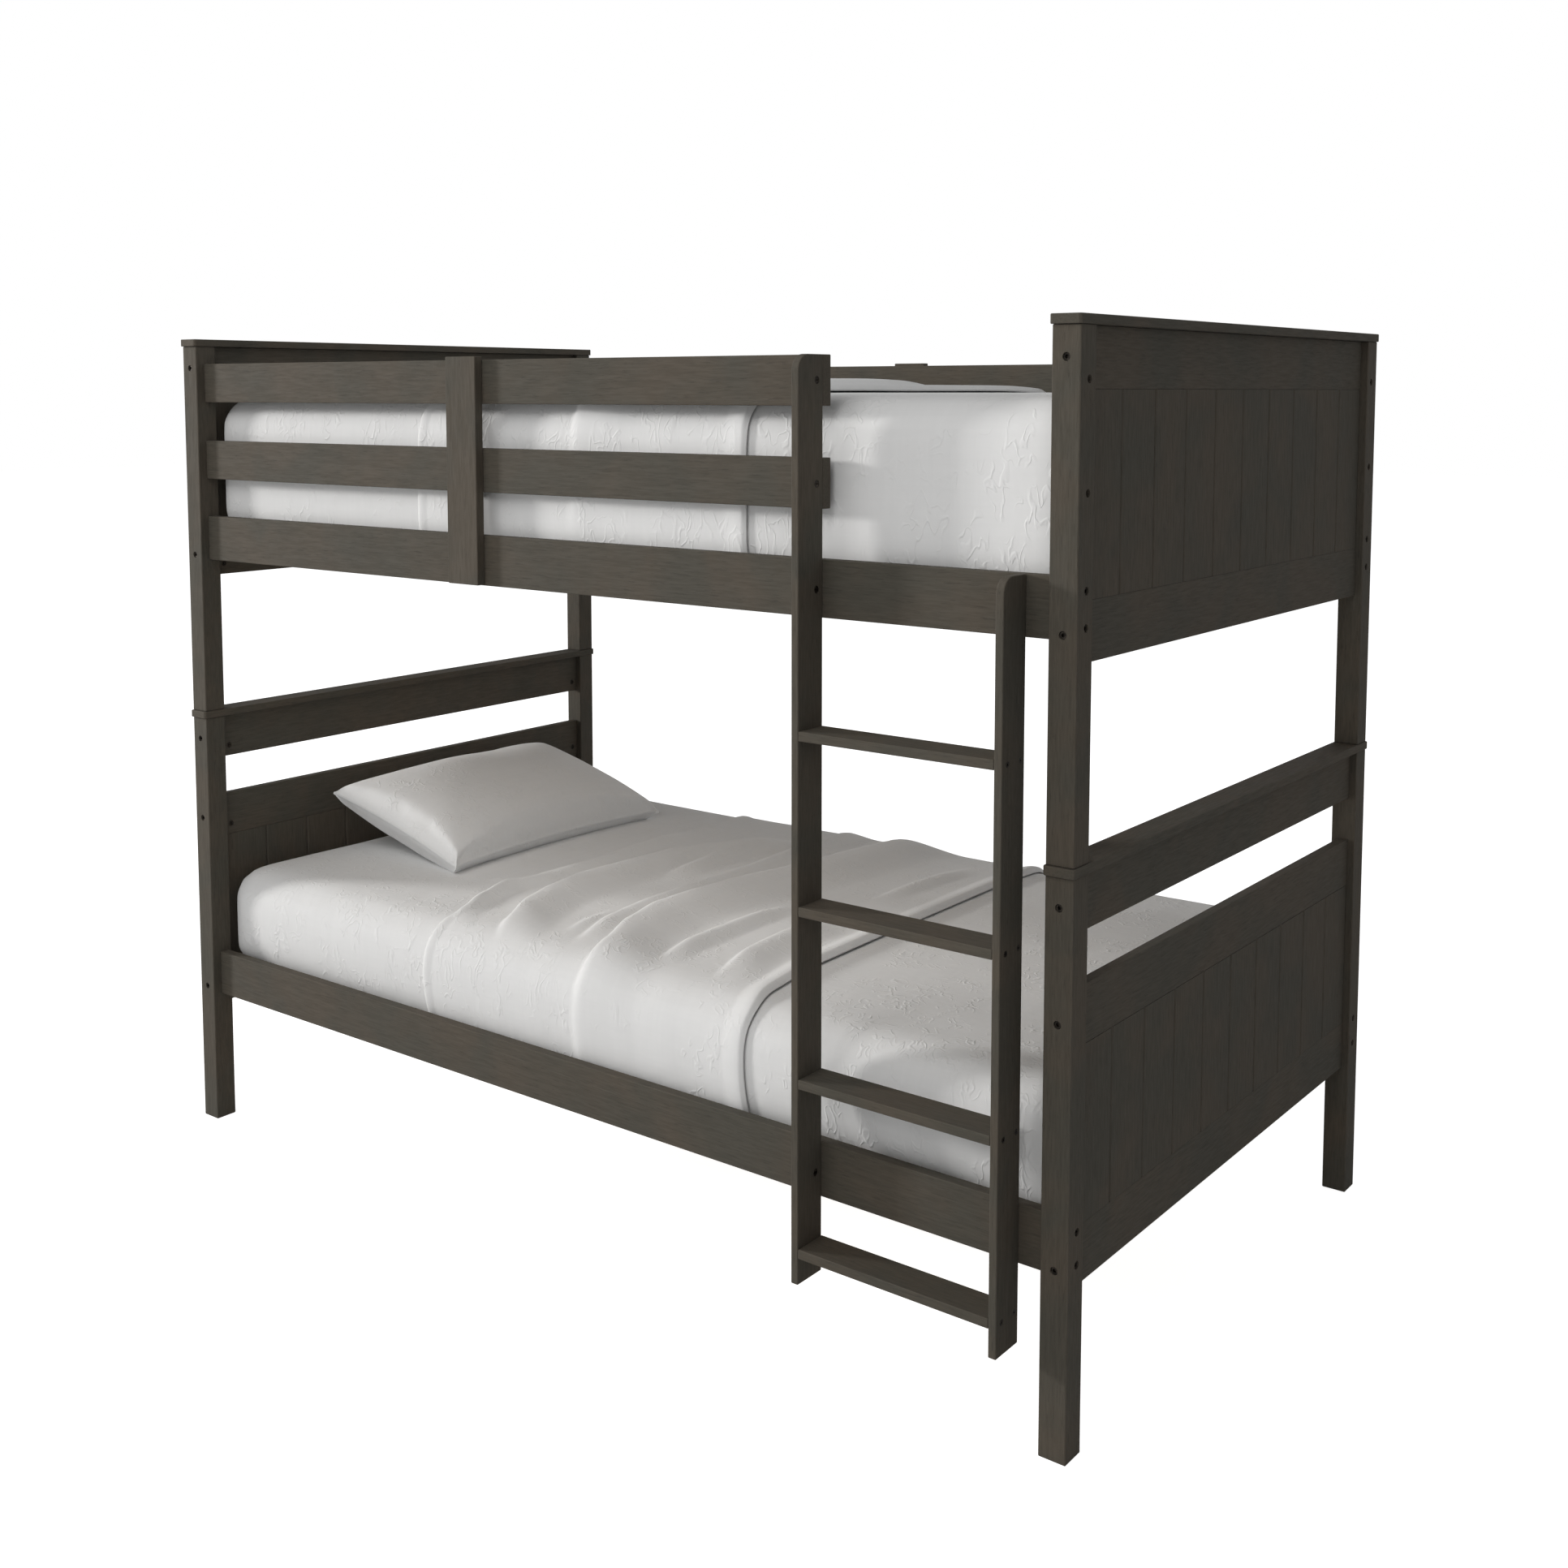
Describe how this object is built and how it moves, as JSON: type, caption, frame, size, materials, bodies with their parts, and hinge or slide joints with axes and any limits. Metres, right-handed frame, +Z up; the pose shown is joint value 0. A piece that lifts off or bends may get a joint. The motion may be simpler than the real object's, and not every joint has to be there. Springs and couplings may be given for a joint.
{
  "type": "bunk bed with ladder",
  "caption": "Twin-over-twin wooden bunk bed with beadboard ends, guard boards and a fixed front ladder, made up with mattresses, folded sheets and a pillow.",
  "frame": {"origin": "on the floor, at the centre of the object's bounding box", "axes": "+X along the bed from head to foot, +Y from the ladder side to the back, +Z up"},
  "size_m": [2.025, 1.178, 1.606],
  "materials": {
    "stained_wood": "satin dark grey-brown stain over fine open grain",
    "plain_pine": "planed bare pine",
    "black_steel": "black oxide",
    "zinc_steel": "zinc plated",
    "fitted_sheet_cotton": "matt plain-weave cotton, lightly crinkled",
    "top_sheet_cotton": "matt plain-weave cotton, rumpled",
    "pillowcase_cotton": "matt plain-weave cotton"
  },
  "bodies": {
    "lower_bunk": {"back_lower_side_rail": "stained_wood", "foot_back_lower_post": "stained_wood", "foot_front_lower_post": "stained_wood", "foot_lower_bottom_rail": "stained_wood", "foot_lower_crest_rail": "stained_wood", "foot_lower_planks": "stained_wood", "foot_lower_top_rail": "stained_wood", "foot_middle_cap": "stained_wood", "front_lower_side_rail": "stained_wood", "head_back_lower_post": "stained_wood", "head_front_lower_post": "stained_wood", "head_lower_bottom_rail": "stained_wood", "head_lower_crest_rail": "stained_wood", "head_lower_planks": "stained_wood", "head_lower_top_rail": "stained_wood", "head_middle_cap": "stained_wood", "lower_cam_locks": "black_steel", "lower_frame_bolts": "black_steel", "lower_insert_nuts": "zinc_steel", "lower_slat_cleats": "plain_pine", "lower_slats": "plain_pine", "stacking_pins": "zinc_steel"},
    "upper_bunk": {"back_guard_middle_board": "stained_wood", "back_guard_strap": "stained_wood", "back_guard_top_board": "stained_wood", "back_upper_side_rail": "stained_wood", "foot_back_upper_post": "stained_wood", "foot_front_upper_post": "stained_wood", "foot_top_cap": "stained_wood", "foot_upper_bottom_rail": "stained_wood", "foot_upper_planks": "stained_wood", "foot_upper_top_rail": "stained_wood", "front_guard_middle_board": "stained_wood", "front_guard_strap": "stained_wood", "front_guard_top_board": "stained_wood", "front_upper_side_rail": "stained_wood", "head_back_upper_post": "stained_wood", "head_front_upper_post": "stained_wood", "head_top_cap": "stained_wood", "head_upper_bottom_rail": "stained_wood", "head_upper_planks": "stained_wood", "head_upper_top_rail": "stained_wood", "ladder_bolts": "black_steel", "ladder_left_stile": "stained_wood", "ladder_right_stile": "stained_wood", "ladder_tread_1": "stained_wood", "ladder_tread_2": "stained_wood", "ladder_tread_3": "stained_wood", "ladder_tread_4": "stained_wood", "upper_cam_locks": "black_steel", "upper_frame_bolts": "black_steel", "upper_insert_nuts": "zinc_steel", "upper_slat_cleats": "plain_pine", "upper_slats": "plain_pine", "wood_screws": "black_steel"},
    "lower_bedding": {"lower_mattress": "fitted_sheet_cotton", "lower_top_sheet": "top_sheet_cotton"},
    "upper_bedding": {"upper_mattress": "fitted_sheet_cotton", "upper_top_sheet": "top_sheet_cotton"},
    "pillow_body": {"pillow": "pillowcase_cotton"}
  },
  "joints": [
    {"name": "upper_bunk_lift", "type": "slide", "parent": "lower_bunk", "child": "upper_bunk", "axis": [0, 0, 1], "range_m": [0, 0.06]},
    {"name": "upper_mattress_lift", "type": "slide", "parent": "upper_bunk", "child": "upper_bedding", "axis": [0, 0, 1], "range_m": [0, 0.06]},
    {"name": "lower_mattress_lift", "type": "slide", "parent": "lower_bunk", "child": "lower_bedding", "axis": [0, 0, 1], "range_m": [0, 0.06]},
    {"name": "pillow_lift", "type": "slide", "parent": "lower_bedding", "child": "pillow_body", "axis": [0, 0, 1], "range_m": [0, 0.12]}
  ]
}
